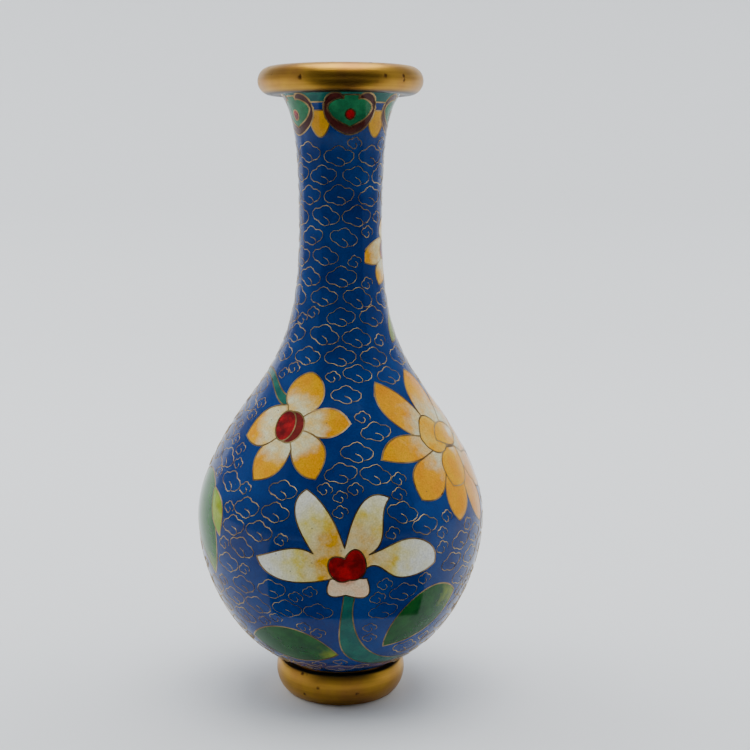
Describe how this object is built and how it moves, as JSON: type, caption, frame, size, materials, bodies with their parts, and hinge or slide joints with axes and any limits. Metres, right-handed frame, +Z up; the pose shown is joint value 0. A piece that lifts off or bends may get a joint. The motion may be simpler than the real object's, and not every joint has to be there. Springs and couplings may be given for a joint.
{
  "type": "cloisonne vase",
  "caption": "Pear-shaped bottle vase of enamelled copper with a tall narrow neck, flared lip under a rolled brass rim, brass foot ring and wire-outlined flowers.",
  "frame": {"origin": "middle of the plane that the foot ring stands on", "axes": "+Z up along the vase's axis to the mouth; -Y is the front, where the orchid is; +X is to the right seen from the front"},
  "size_m": [0.0698, 0.0698, 0.152],
  "materials": {
    "copper": "hammered sheet copper, brass stands in for copper",
    "gilt_brass": "satin gilt, lightly brushed",
    "flower_wire": "polished flat wire",
    "blue_enamel": "glossy opaque cobalt enamel",
    "counter_enamel": "glossy plain enamel",
    "teal_enamel": "glossy opaque enamel",
    "green_enamel": "glossy opaque enamel",
    "brown_enamel": "glossy opaque enamel",
    "red_enamel": "glossy opaque enamel",
    "leaf_enamel": "glossy opaque enamel, mottled",
    "light_leaf_enamel": "glossy opaque enamel, mottled",
    "cream_enamel": "glossy opaque enamel, mottled",
    "yellow_enamel": "glossy opaque enamel, mottled"
  },
  "bodies": {
    "root": {"back_blossom_crescent": "red_enamel", "back_blossom_heart": "red_enamel", "back_blossom_petals": "yellow_enamel", "back_blossom_wires": "flower_wire", "back_left_leaf": "leaf_enamel", "back_left_leaf_wires": "flower_wire", "back_right_leaf": "leaf_enamel", "back_right_leaf_wires": "flower_wire", "band_dots": "red_enamel", "band_drops": "yellow_enamel", "band_fields": "green_enamel", "band_scrolls": "brown_enamel", "band_strip": "teal_enamel", "band_wires": "flower_wire", "base_enamel": "counter_enamel", "blossom_crescent": "red_enamel", "blossom_heart": "red_enamel", "blossom_petals": "yellow_enamel", "blossom_stem": "teal_enamel", "blossom_wires": "flower_wire", "chrysanthemum_core": "cream_enamel", "chrysanthemum_eye": "yellow_enamel", "chrysanthemum_inner_petal": "cream_enamel", "chrysanthemum_outer_petals": "yellow_enamel", "chrysanthemum_wires": "flower_wire", "drop_wires": "flower_wire", "foot_ring": "gilt_brass", "ground_enamel": "blue_enamel", "left_leaf": "leaf_enamel", "left_leaf_wires": "flower_wire", "lining_enamel": "counter_enamel", "lower_bowl": "copper", "mouth_rim": "gilt_brass", "neck_blossom_heart": "red_enamel", "neck_blossom_petals": "yellow_enamel", "neck_blossom_wires": "flower_wire", "neck_leaf": "leaf_enamel", "neck_leaf_wires": "flower_wire", "neck_tube": "copper", "orchid_heart": "red_enamel", "orchid_lip": "cream_enamel", "orchid_petals": "yellow_enamel", "orchid_root": "teal_enamel", "orchid_wires": "flower_wire", "right_leaf": "leaf_enamel", "right_leaf_wires": "flower_wire", "shoulder_dome": "copper", "side_leaf_back": "leaf_enamel", "side_leaf_front": "light_leaf_enamel", "side_leaf_wires": "flower_wire"}
  },
  "joints": []
}
